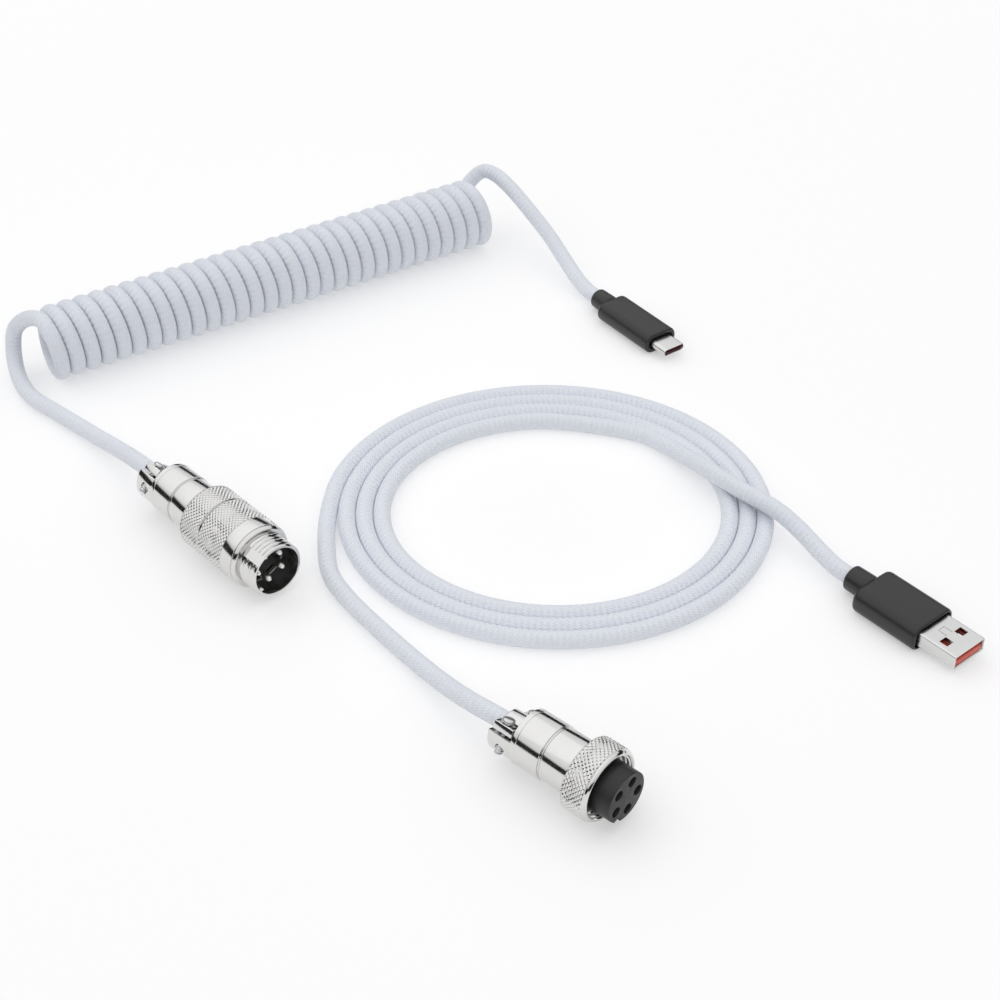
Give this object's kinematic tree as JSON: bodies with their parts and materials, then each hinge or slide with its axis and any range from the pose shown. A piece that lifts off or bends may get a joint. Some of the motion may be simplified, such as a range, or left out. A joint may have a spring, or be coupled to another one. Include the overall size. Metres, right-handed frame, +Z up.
{
  "type": "detachable coiled usb cable",
  "caption": "Detachable keyboard cable: a curly coil ending in USB-C, joined by threaded round aviator connectors to a looped cord ending in USB-A.",
  "frame": {"origin": "on the table, below the middle of the box round the four connectors", "axes": "+Z up from the table, +X to the right and +Y away, seen from the side the connectors point to"},
  "size_m": [0.2819, 0.2932, 0.0238],
  "materials": {
    "nickel": "bright nickel plating over turned and diamond-knurled brass",
    "steel": "bright zinc-plated screws and collar",
    "usb_shell_steel": "nickel-plated pressed steel, satin",
    "contact_silver": "silver plating, bright",
    "black_plastic": "satin moulded plastic with a fine texture",
    "black_insert": "moulded phenolic, dull",
    "red_tongue": "moulded, slightly glossy",
    "dark_red_insert": "moulded, dull",
    "circuit_board": "solder mask",
    "braided_sleeve": "pale blue-white braided sleeve over the cord"
  },
  "bodies": {
    "coiled_half": {"male_back_shell": "nickel", "male_clamp_bar": "nickel", "male_clamp_screw_near": "steel", "male_clamp_screw_far": "steel", "male_knurled_sleeve": "nickel", "male_socket_body": "nickel", "male_insulator": "black_insert", "male_pin_1": "contact_silver", "male_pin_2": "contact_silver", "male_pin_3": "contact_silver", "male_pin_4": "contact_silver", "male_pin_5": "contact_silver", "male_lead": "braided_sleeve", "curly_coil": "braided_sleeve"},
    "usb_c_end": {"usb_c_strain_relief": "black_plastic", "usb_c_housing": "black_plastic", "usb_c_shell": "usb_shell_steel", "usb_c_insert": "dark_red_insert", "usb_c_board": "circuit_board", "usb_c_lead": "braided_sleeve"},
    "straight_half": {"female_back_shell": "nickel", "female_clamp_bar": "nickel", "female_clamp_screw_near": "steel", "female_clamp_screw_far": "steel", "female_core": "steel", "female_insulator": "black_insert", "female_contact_1": "contact_silver", "female_contact_2": "contact_silver", "female_contact_3": "contact_silver", "female_contact_4": "contact_silver", "female_contact_5": "contact_silver", "female_lead": "braided_sleeve", "cord_loop": "braided_sleeve", "usb_a_lead": "braided_sleeve", "usb_a_strain_relief": "black_plastic", "usb_a_housing": "black_plastic", "usb_a_shell": "usb_shell_steel", "usb_a_tongue": "red_tongue", "usb_a_contact_1": "contact_silver", "usb_a_contact_2": "contact_silver", "usb_a_contact_3": "contact_silver", "usb_a_contact_4": "contact_silver"},
    "nut": {"coupling_nut": "nickel"}
  },
  "joints": [
    {"name": "coil_stretch", "type": "slide", "parent": "coiled_half", "child": "usb_c_end", "axis": [0.8425, 0.5388, 0], "range_m": [0, 0.25], "stiffness_N_per_m": 20, "deforming": ["curly_coil"]},
    {"name": "straight_half_lift", "type": "slide", "parent": "coiled_half", "child": "straight_half", "axis": [0, 0, 1], "range_m": [0, 0.15]},
    {"name": "nut_spin", "type": "hinge", "parent": "straight_half", "child": "nut", "pos_m": [0.0116, -0.10791, 0.0099], "axis": [0.7466, -0.6652, 0], "continuous": true}
  ]
}
